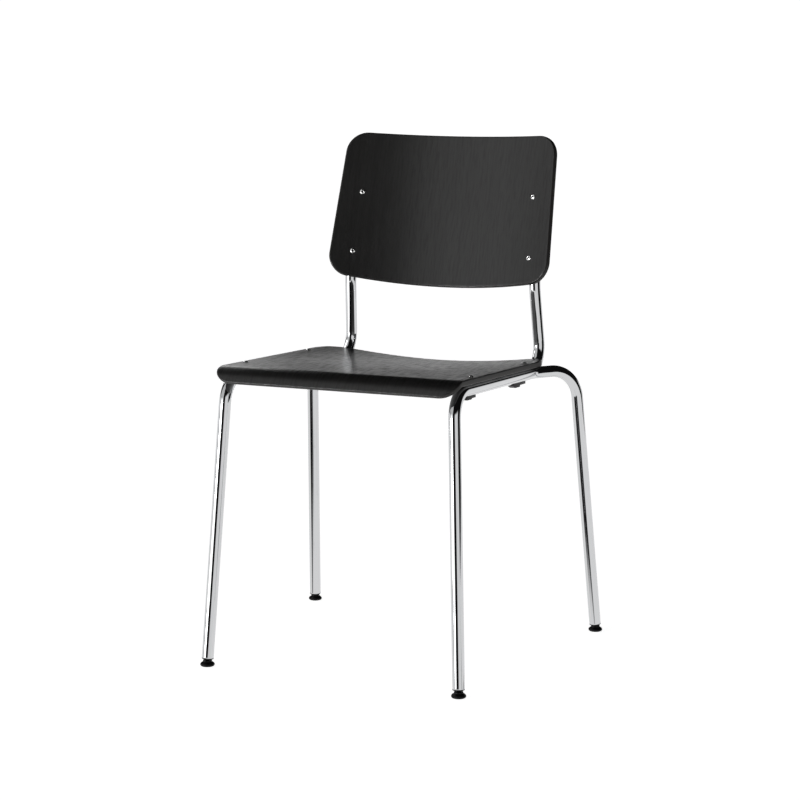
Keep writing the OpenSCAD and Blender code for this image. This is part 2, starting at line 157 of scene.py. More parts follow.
class FinishSettings(bpy.types.PropertyGroup):
    """Colours and gloss of the finishes."""
    stain_dark: colour("Stain, dark", "Stain in the closed wood", (0.0065, 0.0062, 0.006))
    stain_light: colour("Stain, light", "Stain on the ridges of the grain", (0.021, 0.0205, 0.02))
    edge_light: colour("Edge, light", "Paler plies in the edge", (0.020, 0.0185, 0.017))
    veneer_gloss: amount("Veneer roughness", "Roughness of the lacquered veneer", 0.36)
    chrome_tint: colour("Chrome", "Reflection colour of the chrome", (0.63, 0.635, 0.645))
    chrome_gloss: amount("Chrome roughness", "Roughness of polished chrome", 0.035)
    zinc_tint: colour("Zinc", "Reflection colour of the plated screws", (0.93, 0.93, 0.92))
    plastic_tint: colour("Plastic", "Colour of the black plastic", (0.004, 0.004, 0.0045))


class StudioSettings(bpy.types.PropertyGroup):
    """Camera and light."""
    camera_place: FloatVectorProperty(name="Camera", description="Place of the camera", size=3, unit="LENGTH",
                                      default=(1.5012, -3.2584, 0.9360), precision=4)
    camera_turn: angle("Turn", "How far the camera stands round to the chair's left", 24.65)
    camera_pitch: angle("Pitch", "How far the camera looks down", 8.64)
    camera_roll: angle("Roll", "Roll of the camera", 0.12)
    lens: FloatProperty(name="Lens", description="Focal length on a 36 mm sensor", default=105.3,
                        subtype="DISTANCE_CAMERA", unit="CAMERA")
    floor_glow: amount("Floor glow", "Share of the floor's brightness that doesn't take a shadow", 0.94, 2.0)


GROUPS = {"tubes": TubeSettings, "panels": PanelSettings, "finish": FinishSettings, "studio": StudioSettings}


def setting(group):
    return getattr(bpy.context.scene, "chair_" + group)


# ---------------------------------------------------------------- mesh making

def add_piece(name, verts, faces, materials, body, slot, replaced, face_material=None, uvs=None):
    """A new mesh that rides on a body and stands for the CAD node named in replaced."""
    mesh = bpy.data.meshes.new(name)
    mesh.from_pydata([tuple(v) for v in verts], [], faces)
    outward = bmesh.new()
    outward.from_mesh(mesh)
    bmesh.ops.recalc_face_normals(outward, faces=outward.faces)
    outward.to_mesh(mesh)
    outward.free()
    for material in materials:
        mesh.materials.append(material)
    if face_material:
        mesh.polygons.foreach_set("material_index", face_material)
    if uvs:
        layer = mesh.uv_layers.new(name="grain")
        for loop in mesh.loops:
            layer.data[loop.index].uv = uvs[loop.vertex_index]
    mesh.polygons.foreach_set("use_smooth", [True] * len(mesh.polygons))
    mesh.update()
    piece = bpy.data.objects.new(name, mesh)
    bpy.context.scene.collection.objects.link(piece)
    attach(piece, body)
    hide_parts(replaced)
    return piece


def refinish(node, material):
    """Gives a CAD node that keeps its shape its finished material."""
    mesh = NODES[node].data
    mesh.materials.clear()
    mesh.materials.append(material)


def crease(piece, degrees):
    """Keeps edges sharper than the given angle when the piece is shaded smooth."""
    piece.data.set_sharp_from_angle(angle=math.radians(degrees))


def turn_between(a, b):
    return math.acos(max(-1.0, min(1.0, a.normalized().dot(b.normalized()))))


def rounded_path(corners, radii, arc_step=math.radians(3), run_step=0.05):
    """Points along a line of corners, each rounded by its radius."""
    points = [corners[0]]
    for i in range(1, len(corners) - 1):
        before = (corners[i] - corners[i - 1]).normalized()
        after = (corners[i + 1] - corners[i]).normalized()
        turn = turn_between(before, after)
        if turn < 1e-6 or radii[i] <= 0:
            points.append(corners[i])
            continue
        start = corners[i] - before * radii[i] * math.tan(turn / 2)
        inward = (after - before * after.dot(before)).normalized()
        steps = max(2, math.ceil(turn / arc_step))
        for k in range(steps + 1):
            a = turn * k / steps
            points.append(start + before * radii[i] * math.sin(a) + inward * radii[i] * (1 - math.cos(a)))
    points.append(corners[-1])
    filled = [points[0]]
    for p in points[1:]:
        run = p - filled[-1]
        parts = max(1, math.ceil(run.length / run_step))
        filled += [filled[-1] + run * k / parts for k in range(1, parts)] + [p]
    return filled


def path_frames(points):
    """A place and two directions across the path at each point, without twist."""
    headings = [(b - a).normalized() for a, b in zip(points, points[1:])]
    tangents = [headings[0]] + [(a + b).normalized() for a, b in zip(headings, headings[1:])] + [headings[-1]]
    across = tangents[0].orthogonal().normalized()
    frames = []
    for i, (point, tangent) in enumerate(zip(points, tangents)):
        if i:
            across = tangents[i - 1].rotation_difference(tangent) @ across
        frames.append((point, tangent, across, tangent.cross(across)))
    return frames


def skin(rings):
    """Faces between rings of equal count, with a fan over each end."""
    n = len(rings[0])
    verts = [p for ring in rings for p in ring]
    faces = [(i * n + j, i * n + (j + 1) % n, (i + 1) * n + (j + 1) % n, (i + 1) * n + j)
             for i in range(len(rings) - 1) for j in range(n)]
    for base, flip in ((0, True), ((len(rings) - 1) * n, False)):
        middle = len(verts)
        verts.append(sum((verts[base + j] for j in range(n)), Vector()) / n)
        for j in range(n):
            a, b = base + j, base + (j + 1) % n
            faces.append((b, a, middle) if flip else (a, b, middle))
    return verts, faces


def tube_mesh(corners, radii, outer, inner, sides=56, mouth=0.012, lip=0.0004):
    """A bent tube with a rolled lip at each end and a bore as deep as mouth. The last ring of each end
    keeps the lip's shading off the long run."""
    frames = path_frames(rounded_path(corners, radii))

    def ring(frame_at, shift, r):
        point, tangent, a, b = frame_at
        return [point + tangent * shift + (a * math.cos(t) + b * math.sin(t)) * r
                for t in (2 * math.pi * k / sides for k in range(sides))]

    ends = [(mouth, inner), (lip, inner), (0, inner + lip), (0, outer - lip), (lip * 0.3, outer - lip * 0.3),
            (lip, outer), (lip * 4, outer)]
    rings = [ring(frames[0], shift, r) for shift, r in ends]
    rings += [ring(f, 0, outer) for f in frames[1:-1]]
    rings += [ring(frames[-1], -shift, r) for shift, r in reversed(ends)]
    return skin(rings)


def lathe_mesh(profile, place, sides=48, hexagon=()):
    """Turns a profile of (radius, height) about Z, placed by a matrix. Rings in hexagon have six sides."""
    rings = []
    for index, (r, z) in enumerate(profile):
        ring = []
        for k in range(sides):
            t = 2 * math.pi * k / sides
            reach = r / math.cos((t + math.pi / 6) % (math.pi / 3) - math.pi / 6) if index in hexagon else r
            ring.append(place @ Vector((reach * math.cos(t), reach * math.sin(t), z)))
        rings.append(ring)
    return skin(rings)


def softened(profile, radius, steps=4):
    """The profile with each inner corner rounded by at most radius."""
    soft = [profile[0]]
    for a, b, c in zip(profile, profile[1:], profile[2:]):
        a, b, c = Vector(a), Vector(b), Vector(c)
        r = min(radius, (a - b).length * 0.45, (c - b).length * 0.45)
        p, q = b + (a - b).normalized() * r, b + (c - b).normalized() * r
        for k in range(steps + 1):
            t = k / steps
            soft.append(tuple(p * (1 - t) ** 2 + b * 2 * t * (1 - t) + q * t ** 2))
    return soft + [profile[-1]]


def joined(parts):
    """One mesh from several."""
    verts, faces = [], []
    for part_verts, part_faces in parts:
        base = len(verts)
        verts += part_verts
        faces += [tuple(base + i for i in face) for face in part_faces]
    return verts, faces


def pointing(place, along):
    """Matrix that puts the origin at place and turns +Z along a direction."""
    return Matrix.Translation(place) @ along.to_track_quat("Z", "Y").to_matrix().to_4x4()


# ---------------------------------------------------------------- places on the chair

def rail_height(y):
    t = setting("tubes")
    return t.rail_z - (y - t.leg_top_y) * math.tan(t.rail_fall)


def on_rails():
    """Local Y runs back along a rail from the top of the front leg."""
    t = setting("tubes")
    return Matrix.Translation((0, t.leg_top_y, t.rail_z)) @ Matrix.Rotation(-t.rail_fall, 4, "X")


def on_back():
    """Local Y points out of the backrest's rear face and local Z runs up it."""
    p = setting("panels")
    return Matrix.Translation((0, p.back_y, p.back_z)) @ Matrix.Rotation(-p.recline, 4, "X")


def curved_back(u, v, depth):
    """A point of the backrest from its place along the curve, up the panel and behind the front face."""
    r = setting("panels").back_r
    return Vector(((r + depth) * math.sin(u / r), (r + depth) * math.cos(u / r) - r, v))


def back_screw(side, row):
    """Matrix at a backrest screw, with +Z out of the front face. Row 0 holds the upper screws."""
    u, v = BACK_SCREWS[row]
    around = side * u / setting("panels").back_r
    place = Matrix.Translation(curved_back(side * u, v, 0))
    return on_back() @ place @ Matrix.Rotation(-around, 4, "Z") @ Matrix.Rotation(math.pi / 2, 4, "X")


def seat_screw(side, row):
    """Matrix at a seat screw, on the rail's axis, with +Z up. Row 0 holds the front screws."""
    return on_rails() @ Matrix.Translation((side * setting("tubes").rail_x, SEAT_SCREWS_Y[row], 0))


def seat_top():
    """Height of the seat's flat upper face over the rails' axes."""
    return setting("tubes").tube_d / 2 + INSERT_FLANGE_T + setting("panels").seat_t


def ball(row, side):
    """Centre of a glide's ball, read from the CAD foot below it."""
    low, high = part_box(f"glide_foot_{row}_{side}")
    return Vector(((low.x + high.x) / 2, (low.y + high.y) / 2, BALL_Z))


def leg_top(row, side):
    """The corner where a leg's axis meets the rail's."""
    t = setting("tubes")
    if row == "front":
        return Vector((SIDES[side] * t.rail_x, t.leg_top_y, t.rail_z))
    foot = ball(row, side)
    return Vector((foot.x - SIDES[side] * t.rear_top_in, foot.y - t.rear_top_ahead,
                   rail_height(t.flare_y) + t.rear_top_rise))


def leg_end(row, side):
    """The lower end of a leg's tube."""
    foot = ball(row, side)
    return foot + (leg_top(row, side) - foot).normalized() * LEG_END


def upright_corners(side):
    """Corners of an upright's axis, from the front end of its run to its top, behind both screws."""
    t, p = setting("tubes"), setting("panels")
    s = SIDES[side]
    off = Matrix.Translation((0, 0, -p.back_t - INSERT_FLANGE_T - t.tube_d / 2))
    high, low = ((back_screw(s, row) @ off).translation for row in (0, 1))

    def at(z):
        return low + (high - low) * (z - low.z) / (high.z - low.z)

    return [
        Vector((s * t.upright_x, t.runner_end_y, rail_height(t.runner_end_y) - t.runner_drop)),
        Vector((s * t.upright_x, t.upright_y, rail_height(t.upright_y) - t.runner_drop)),
        at(t.kink_z), at(t.upright_top_z),
    ]


# ---------------------------------------------------------------- shader making

class Val:
    """A socket that takes part in arithmetic: each operator adds a Math node."""

    def __init__(self, make, socket):
        self.make, self.socket = make, socket

    def math(self, operation, *others):
        sockets = {0: self}
        sockets.update({i + 1: other for i, other in enumerate(others)})
        return self.make.node("ShaderNodeMath", {"operation": operation}, sockets)

    def __add__(self, other): return self.math("ADD", other)
    def __radd__(self, other): return self.math("ADD", other)
    def __sub__(self, other): return self.math("SUBTRACT", other)
    def __rsub__(self, other): return -self + other
    def __mul__(self, other): return self.math("MULTIPLY", other)
    def __rmul__(self, other): return self.math("MULTIPLY", other)
    def __neg__(self): return self * -1


class Shader:
    """A node tree under construction."""

    def __init__(self, tree):
        self.tree = tree
        tree.nodes.clear()

    def node(self, kind, settings=None, sockets=None, out=0):
        """Adds a node: its settings, then its sockets' values or links. out picks the output used."""
        made = self.tree.nodes.new(kind)
        for key, value in (settings or {}).items():
            setattr(made, key, value)
        for key, value in (sockets or {}).items():
            self.put(made.inputs[key], value)
        return Val(self, made.outputs[out]) if made.outputs else made

    def put(self, socket, value):
        """Links a socket, or sets it to a plain value."""
        if isinstance(value, Val):
            self.tree.links.new(value.socket, socket)
        elif socket.type == "RGBA" and len(value) == 3:
            socket.default_value = (*value, 1)
        else:
            socket.default_value = value

    def noise(self, vector, scale, detail=2.0, roughness=0.5):
        return self.node("ShaderNodeTexNoise", None,
                         {"Vector": vector, "Scale": scale, "Detail": detail, "Roughness": roughness})

    def place(self):
        """The point on the piece, in metres."""
        return self.node("ShaderNodeTexCoord", out=3)

    def stretch(self, vector, factors):
        return self.node("ShaderNodeVectorMath", {"operation": "MULTIPLY"}, {0: vector, 1: factors})

    def step(self, value, low, high):
        """Rises smoothly from 0 at low to 1 at high."""
        return self.node("ShaderNodeMapRange", {"interpolation_type": "SMOOTHSTEP"},
                         {"Value": value, "From Min": low, "From Max": high})

    def mix(self, factor, a, b):
        """Colour a where factor is 0, b where it is 1."""
        return self.node("ShaderNodeMix", {"data_type": "RGBA"}, {0: factor, 6: a, 7: b}, 2)

    def bump(self, height, strength, distance):
        return self.node("ShaderNodeBump", None,
                         {"Strength": strength, "Distance": distance, "Height": height})


def blank_material(name):
    material = bpy.data.materials.new(name)
    material.use_nodes = True
    return material, Shader(material.node_tree)


def new_material(name, values):
    """A material's shader, its surface node's sockets set to plain values."""
    material, make = blank_material(name)
    surface = make.node("ShaderNodeBsdfPrincipled", None, values)
    make.node("ShaderNodeOutputMaterial", None, {"Surface": surface})
    return material, make, surface.socket.node


def veneer(name):
    """Black-stained oak face veneer under satin lacquer, its grain along V."""
    f = setting("finish")
    material, make, surface = new_material(name, {"IOR": 1.5, "Coat Weight": 0.12, "Coat Roughness": 0.22})
    at = make.node("ShaderNodeUVMap", {"uv_map": "grain"})
    sway = make.noise(make.stretch(at, (9, 2.2, 1)), 1.0, 2.0)
    across = make.node("ShaderNodeCombineXYZ", None, {"X": (sway - 0.5) * 0.016})
    swayed = make.node("ShaderNodeVectorMath", {"operation": "ADD"}, {0: at, 1: across})
    pores = make.noise(make.stretch(swayed, (1150, 42, 1)), 1.0, 3.0, 0.62)
    flecks = make.noise(make.stretch(swayed, (330, 30, 1)), 1.0, 2.0, 0.6)
    bands = make.noise(make.stretch(swayed, (95, 2.4, 1)), 1.0, 3.0, 0.55)
    ridge = make.step(pores, 0.40, 0.66)
    fleck = make.step(flecks, 0.36, 0.56)
    tone = ridge * 0.30 + fleck * 0.50 + make.step(bands, 0.32, 0.72) * 0.28
    cloud = make.noise(make.stretch(at, (14, 9, 1)), 1.0, 2.0)
    make.put(surface.inputs["Base Color"], make.mix(tone * (0.7 + cloud * 0.6), f.stain_dark, f.stain_light))
    make.put(surface.inputs["Roughness"], f.veneer_gloss + (0.6 - fleck) * 0.14 + (cloud - 0.5) * 0.06)
    make.put(surface.inputs["Normal"], make.bump(ridge * 0.4 + fleck * 0.6, 0.30, 0.00008))
    return material


def ply_edge(name):
    """Stained edge of the plywood: thin plies, end grain and a little wear."""
    f = setting("finish")
    material, make, surface = new_material(name, {"IOR": 1.5, "Specular IOR Level": 0.3})
    depth = make.node("ShaderNodeAttribute", {"attribute_name": "ply_depth"}, out=2)
    at = make.place()
    rough = make.noise(at, 900, 4.0, 0.6)
    plies = ((depth * (2 * math.pi / PLY_T)).math("SINE") * 0.5 + 0.5) * (0.6 + rough * 0.8)
    wear = make.step(make.noise(at, 34, 4.0, 0.6), 0.55, 0.75)
    make.put(surface.inputs["Base Color"], make.mix(plies * 0.7 + wear * 0.25, f.stain_dark, f.edge_light))
    make.put(surface.inputs["Roughness"], 0.46 + rough * 0.16)
    make.put(surface.inputs["Normal"], make.bump(plies + rough * 0.6, 0.4, 0.00012))
    return material


def chrome(name):
    """Polished chrome plating with faint handling marks."""
    f = setting("finish")
    material, make, surface = new_material(name, {"Metallic": 1.0, "Base Color": f.chrome_tint})
    at = make.place()
    marks = make.step(make.noise(at, 26, 5.0, 0.6), 0.50, 0.74)
    fine = make.noise(make.stretch(at, (1, 1, 0.35)), 1500, 2.0)
    make.put(surface.inputs["Roughness"], f.chrome_gloss + marks * 0.035 + fine * 0.012)
    make.put(surface.inputs["Normal"], make.bump(fine + marks * 0.4, 0.02, 0.00004))
    return material


def weld_metal(name):
    """Plated weld bead: ripples along the seam and a duller gloss."""
    f = setting("finish")
    material, make, surface = new_material(name, {"Metallic": 1.0})
    at = make.place()
    lumps = make.noise(at, 420, 3.0, 0.55)
    tint = tuple(c * 0.6 for c in f.chrome_tint)
    make.put(surface.inputs["Base Color"], make.mix(make.step(lumps, 0.3, 0.7), tint, f.chrome_tint))
    make.put(surface.inputs["Roughness"], 0.16 + lumps * 0.2)
    make.put(surface.inputs["Normal"], make.bump(lumps, 0.8, 0.0006))
    return material


def zinc(name):
    """Bright plated steel, turned and slightly brushed."""
    f = setting("finish")
    material, make, surface = new_material(name, {"Metallic": 1.0})
    at = make.place()
    brush = make.noise(make.stretch(at, (1, 1, 6)), 1100, 3.0, 0.6)
    cloud = make.noise(at, 160, 2.0)
    tint = tuple(c * 0.82 for c in f.zinc_tint)
    make.put(surface.inputs["Base Color"], make.mix(cloud, tint, f.zinc_tint))
    make.put(surface.inputs["Roughness"], 0.12 + brush * 0.10 + cloud * 0.05)
    make.put(surface.inputs["Normal"], make.bump(brush, 0.08, 0.00005))
    return material


def socket_black(name):
    """Inside of a screw's socket: painted shade, the plating coloured near black and dull so that the recess
    reads dark.
    """
    material, make, surface = new_material(name, {"Metallic": 1.0, "Roughness": 0.5})
    at = make.place()
    grit = make.noise(at, 1800, 3.0, 0.6)
    # near-black colours paint the shade inside the socket
    make.put(surface.inputs["Base Color"], make.mix(grit, (0.01, 0.01, 0.01), (0.05, 0.05, 0.05)))
    make.put(surface.inputs["Normal"], make.bump(grit, 0.3, 0.00005))
    return material


def plastic(name):
    """Moulded black plastic with a fine spark-eroded texture and scuffs."""
    f = setting("finish")
    material, make, surface = new_material(name, {"IOR": 1.5, "Specular IOR Level": 0.16})
    at = make.place()
    texture = make.noise(at, 2600, 3.0, 0.6)
    scuffs = make.step(make.noise(make.stretch(at, (1, 1, 3)), 240, 4.0, 0.65), 0.56, 0.72)
    grey = tuple(c * 2.6 for c in f.plastic_tint)
    make.put(surface.inputs["Base Color"], make.mix(scuffs * 0.5, f.plastic_tint, grey))
    make.put(surface.inputs["Roughness"], 0.34 + texture * 0.14 + scuffs * 0.14)
    make.put(surface.inputs["Normal"], make.bump(texture, 0.25, 0.00006))
    return material


MATERIALS = {"stained_veneer": veneer, "stained_ply_edge": ply_edge, "chrome": chrome, "weld": weld_metal,
             "zinc": zinc, "socket_black": socket_black, "plastic": plastic}


def finish(name):
    """The named material, built the first time it is asked for."""
    return bpy.data.materials.get(name) or MATERIALS[name](name)


# ---------------------------------------------------------------- moulded panels

def outline(low, high, half, corner, inset, arc=10, across=36, up=40):
    """Closed ring of a panel's flat outline, pulled in by inset. half and corner hold low and high ends."""
    lo, hi = low + inset, high - inset
    (w0, w1), (r0, r1) = ((a - inset, b - inset) for a, b in (half, corner))
    centres = [(w1 - r1, hi - r1, r1), (r1 - w1, hi - r1, r1), (r0 - w0, lo + r0, r0), (w0 - r0, lo + r0, r0)]
    arcs = []
    for quarter, (x, y, r) in enumerate(centres):
        turns = [math.radians(90 * quarter + 90 * k / arc) for k in range(arc + 1)]
        arcs.append([(x + r * math.cos(a), y + r * math.sin(a)) for a in turns])
    ring = []
    for i, run in enumerate(arcs):
        ring += run
        (ax, ay), (bx, by) = run[-1], arcs[(i + 1) % 4][0]
        n = (across, up)[i % 2]
        ring += [(ax + (bx - ax) * k / n, ay + (by - ay) * k / n) for k in range(1, n)]
    return ring


def panel_piece(name, low, high, half, corner, thick, place, replaced, rings_in=46):
    """A moulded panel: rings from the middle of the front face, over the rounded edge, to the rear face."""
    rounding = setting("panels").edge_round
    middle = (low + high) / 2
    arc = [(rounding * (1 - math.sin(a)), rounding * (1 - math.cos(a)))
           for a in (math.radians(90 * k / 6) for k in range(7))]
    edge = arc + [(inset, thick - depth) for inset, depth in reversed(arc)]
    face = outline(low, high, half, corner, arc[0][0])
    shares = [(k / rings_in) ** 0.8 for k in range(1, rings_in)]

    def inner(share, depth):
        return [(x * share, middle + (y - middle) * share, depth) for x, y in face]

    flat = [inner(share, 0) for share in shares]
    flat += [[(x, y, depth) for x, y in outline(low, high, half, corner, inset)] for inset, depth in edge]
    flat += [inner(share, thick) for share in reversed(shares)]
    points = [p for ring in flat for p in ring] + [(0, middle, 0), (0, middle, thick)]
    verts, faces = skin([[Vector(place(*p)) for p in ring] for ring in flat])
    verts[-2:] = [Vector(place(*p)) for p in points[-2:]]
    n, first, last = len(face), len(shares), len(shares) + len(edge) - 1
    plies = range((first + 3) * n, (last - 3) * n)    # the veneer runs over the first half of each rounding
    kinds = [int(i in plies) for i in range(len(faces))]
    uvs = [(u, v + (0.5 if depth > thick / 2 else 0)) for u, v, depth in points]
    piece = add_piece(name, verts, faces, [finish("stained_veneer"), finish("stained_ply_edge")], CHAIR,
                      "stained_ply", replaced, kinds, uvs)
    layer = piece.data.attributes.new("ply_depth", "FLOAT", "POINT")
    layer.data.foreach_set("value", [p[2] for p in points])
    return piece


# ---------------------------------------------------------------- operators

class CHAIR_OT_side_tubes(bpy.types.Operator):
    """Make the two side frames, each a front leg, seat rail and rear leg bent from one tube"""
    bl_idname = "chair.side_tubes"
    bl_label = "Side frames"
    bl_options = {"REGISTER", "UNDO"}

    def execute(self, context):
        t = setting("tubes")
        for side, s in SIDES.items():
            flare = Vector((s * t.rail_x, t.flare_y, rail_height(t.flare_y)))
            corners = [leg_end("front", side), leg_top("front", side), flare, leg_top("rear", side),
                       leg_end("rear", side)]
            verts, faces = tube_mesh(corners, [0, t.front_bend, t.flare_bend, t.rear_bend, 0],
                                     t.tube_d / 2, t.bore_d / 2)
            piece = add_piece(f"side_tube_{side}", verts, faces, [finish("chrome")], CHAIR, "chrome_tube",
                              f"side_frame_{side}")
            crease(piece, 50)
        return {"FINISHED"}


class CHAIR_OT_upright_tubes(bpy.types.Operator):
    """Make the two back uprights, which run forward under the seat"""
    bl_idname = "chair.upright_tubes"
    bl_label = "Back uprights"
    bl_options = {"REGISTER", "UNDO"}

    def execute(self, context):
        t = setting("tubes")
        for side in SIDES:
            verts, faces = tube_mesh(upright_corners(side), [0, t.upright_bend, t.kink_bend, 0],
                                     t.tube_d / 2, t.bore_d / 2)
            piece = add_piece(f"upright_tube_{side}", verts, faces, [finish("chrome")], CHAIR, "chrome_tube",
                              f"back_upright_{side}")
            crease(piece, 50)
        return {"FINISHED"}


class CHAIR_OT_cross_tubes(bpy.types.Operator):
    """Finish the cross bars and the weld beads under the seat"""
    bl_idname = "chair.cross_tubes"
    bl_label = "Cross bars and welds"
    bl_options = {"REGISTER", "UNDO"}

    def execute(self, context):
        refinish("cross_bar_front", finish("chrome"))
        refinish("cross_bar_rear", finish("chrome"))
        refinish("frame_welds", finish("weld"))
        return {"FINISHED"}


class CHAIR_OT_seat(bpy.types.Operator):
    """Make the moulded plywood seat with its front roll and hollowed rear"""
    bl_idname = "chair.seat"
    bl_label = "Seat"
    bl_options = {"REGISTER", "UNDO"}

    def execute(self, context):
        p, t = setting("panels"), setting("tubes")
        top, half, rails = seat_top(), p.seat_w / 2, on_rails()

        def place(x, v, depth):
            if v < 0:
                a, reach = -v / p.nose_r, p.nose_r - depth
                return rails @ Vector((x, p.nose_y - reach * math.sin(a),
                                       top - p.nose_r + reach * math.cos(a)))
            bow = p.seat_bow * (v / p.seat_length) ** 2 * (1 - (2 * x / p.seat_w) ** 2)
            back = max(0, (v - p.dish_start) / (p.seat_length - p.dish_start)) ** 1.5
            hollow = p.dish_depth * back * max(0, 1 - (x / t.rail_x) ** 2) ** 1.15
            return rails @ Vector((x, p.nose_y + v + bow, top - depth - hollow))

        panel_piece("seat_ply", -p.nose_r * p.nose_angle, p.seat_length, (half, half),
                    (p.seat_front_corner, p.seat_rear_corner), p.seat_t, place, "seat_shell")
        return {"FINISHED"}


class CHAIR_OT_backrest(bpy.types.Operator):
    """Make the curved plywood backrest"""
    bl_idname = "chair.backrest"
    bl_label = "Backrest"
    bl_options = {"REGISTER", "UNDO"}

    def execute(self, context):
        p, back = setting("panels"), on_back()

        def place(u, v, depth):
            k = v / p.back_h + 0.5
            rise = p.top_crown * k * (1 - (u / p.back_top_half) ** 2)
            drop = p.low_crown * (1 - k) * (1 - (u / p.back_low_half) ** 2)
            return back @ curved_back(u, v + rise - drop, depth)

        panel_piece("backrest_ply", -p.back_h / 2, p.back_h / 2, (p.back_low_half, p.back_top_half),
                    (p.low_corner, p.top_corner), p.back_t, place, "back_shell")
        return {"FINISHED"}


class CHAIR_OT_screws(bpy.types.Operator):
    """Make the button-head screws of the seat and the backrest"""
    bl_idname = "chair.screws"
    bl_label = "Screws"
    bl_options = {"REGISTER", "UNDO"}

    def profile(self, grip):
        """From the shank's tip, under and over the head, and down into its hexagon socket."""
        shank = [(SHANK_R - SHANK_CHAMFER, -grip), (SHANK_R, SHANK_CHAMFER - grip), (SHANK_R, -0.0007),
                 (SHANK_R, 0)]
        rim = [(HEAD_R - 0.0002, 0), (HEAD_R, HEAD_RIM / 2), (HEAD_R, HEAD_RIM)]
        dome = [(HEAD_R * math.cos(a) * 0.98, HEAD_RIM + (HEAD_H - HEAD_RIM) * math.sin(a))
                for a in (math.radians(d) for d in (15, 30, 45, 58))]
        socket = [(SOCKET_R + 0.0004, HEAD_H), (SOCKET_R, HEAD_H - 0.0001), (SOCKET_R, HEAD_H - SOCKET_DEEP)]
        return shank + rim + dome + socket

    def execute(self, context):
        p, sides = setting("panels"), 48
        lift = Matrix.Translation((0, 0, seat_top()))
        for name, thick, at in (("seat", p.seat_t, lambda s, row: seat_screw(s, row) @ lift),
                                ("back", p.back_t, back_screw)):
            profile = self.profile(thick + SCREW_GRIP)
            mouth = len(profile) - 2          # the socket's upper ring
            screws = [lathe_mesh(profile, at(s, row), sides, (mouth, mouth + 1))
                      for s in SIDES.values() for row in (0, 1)]
            count = len(screws[0][1])
            # the socket's wall and floor take the painted-shade material
            wall, bottom = range(mouth * sides, (mouth + 1) * sides), range(count - sides, count)
            kinds = [int(i in wall or i in bottom) for i in range(count)] * len(screws)
            piece = add_piece(f"{name}_button_screws", *joined(screws),
                              [finish("zinc"), finish("socket_black")], CHAIR, "zinc_steel", f"{name}_screws",
                              kinds)
            crease(piece, 40)
        return {"FINISHED"}


class CHAIR_OT_inserts(bpy.types.Operator):
    """Finish the threaded inserts, whose flanges hold the panels off the tubes"""
    bl_idname = "chair.inserts"
    bl_label = "Threaded inserts"
    bl_options = {"REGISTER", "UNDO"}

    def execute(self, context):
        for node in ("seat_inserts", "back_inserts"):
            refinish(node, finish("zinc"))
        return {"FINISHED"}


class CHAIR_OT_bumpers(bpy.types.Operator):
    """Make the stacking bumpers under the rails"""
    bl_idname = "chair.bumpers"
    bl_label = "Stacking bumpers"
    bl_options = {"REGISTER", "UNDO"}

    def shoe(self, s, end):
        """Rings across the bumper, from one side face to the other, saddled to the tube on top."""
        t, rails = setting("tubes"), on_rails()
        start, foot, foot_end, stop = BUMPER_SPANS[end]
        shoulder, low, strip, top = (-t.tube_d / 2 - deep
                                     for deep in (SHOULDER_DROP, BUMPER_DROPS[end], STRIP_DROP, 0.0003))
        under = [(start, shoulder), (foot, low), (foot_end, low), (foot_end + 0.002, strip), (stop, strip),
                 (stop, top)]
        rounding = [(-BUMPER_HALF + BUMPER_ROUND * a, BUMPER_ROUND * b)
                    for a, b in ((0, 0.45), (0.12, 0.15), (0.35, 0))]
        flat = 2 * BUMPER_HALF - 2 * BUMPER_ROUND
        across = rounding + [(-BUMPER_HALF + BUMPER_ROUND + flat * k / 12, 0) for k in range(13)]
        across += [(-x, pull) for x, pull in reversed(rounding)]
        rings = []
        for x, pull in across:
            saddle = -math.sqrt((t.tube_d / 2 + SLIDE) ** 2 - x * x)
            pulled = [(y + (pull if i < 2 else -pull), z + (pull if i < 5 else 0))
                      for i, (y, z) in enumerate(under)]
            lower = [(y, min(z, saddle - 0.0002)) for y, z in softened(pulled, 0.0008)]
            upper = [(stop - pull + (start - stop + 2 * pull) * k / 16, saddle) for k in range(17)]
            rings.append([rails @ Vector((s * t.rail_x + x, y, z)) for y, z in lower + upper])
        return skin(rings)

    def execute(self, context):
        for end in BUMPER_SPANS:
            for side, s in SIDES.items():
                piece = add_piece(f"stacking_shoe_{end}_{side}", *self.shoe(s, end), [finish("plastic")],
                                  CHAIR, "black_plastic", f"bumper_{end}_{side}")
                crease(piece, 35)
        return {"FINISHED"}


class CHAIR_OT_tube_plugs(bpy.types.Operator):
    """Make the plugs in the tops of the uprights and in the front ends of their runs"""
    bl_idname = "chair.tube_plugs"
    bl_label = "Tube plugs"
    bl_options = {"REGISTER", "UNDO"}

    def plug(self, end, before, dome, shank):
        """A domed plug in the tube's end, with a tapered shank that long in the bore."""
        t = setting("tubes")
        r, bore = t.tube_d / 2, t.bore_d / 2 - SLIDE
        neck = [(bore - 0.0006, -shank), (bore, 0.002 - shank), (bore, 0), (r, 0)]
        head = [(r, dome * 0.4), (r * 0.86, dome * 0.75), (r * 0.5, dome), (r * 0.02, dome)]
        return lathe_mesh(softened(neck + head, 0.0012), pointing(end, end - before))

    def execute(self, context):
        for side in SIDES:
            front, corner, kink, top = upright_corners(side)
            for name, node, end, before, dome, shank in (
                    ("upright_plug", "upright_cap", top, kink, 0.003, 0.016),
                    ("run_plug", "runner_plug", front, corner, 0.002, 0.014)):
                piece = add_piece(f"{name}_{side}", *self.plug(end, before, dome, shank),
                                  [finish("plastic")], CHAIR, "black_plastic", f"{node}_{side}")
                crease(piece, 60)
        return {"FINISHED"}


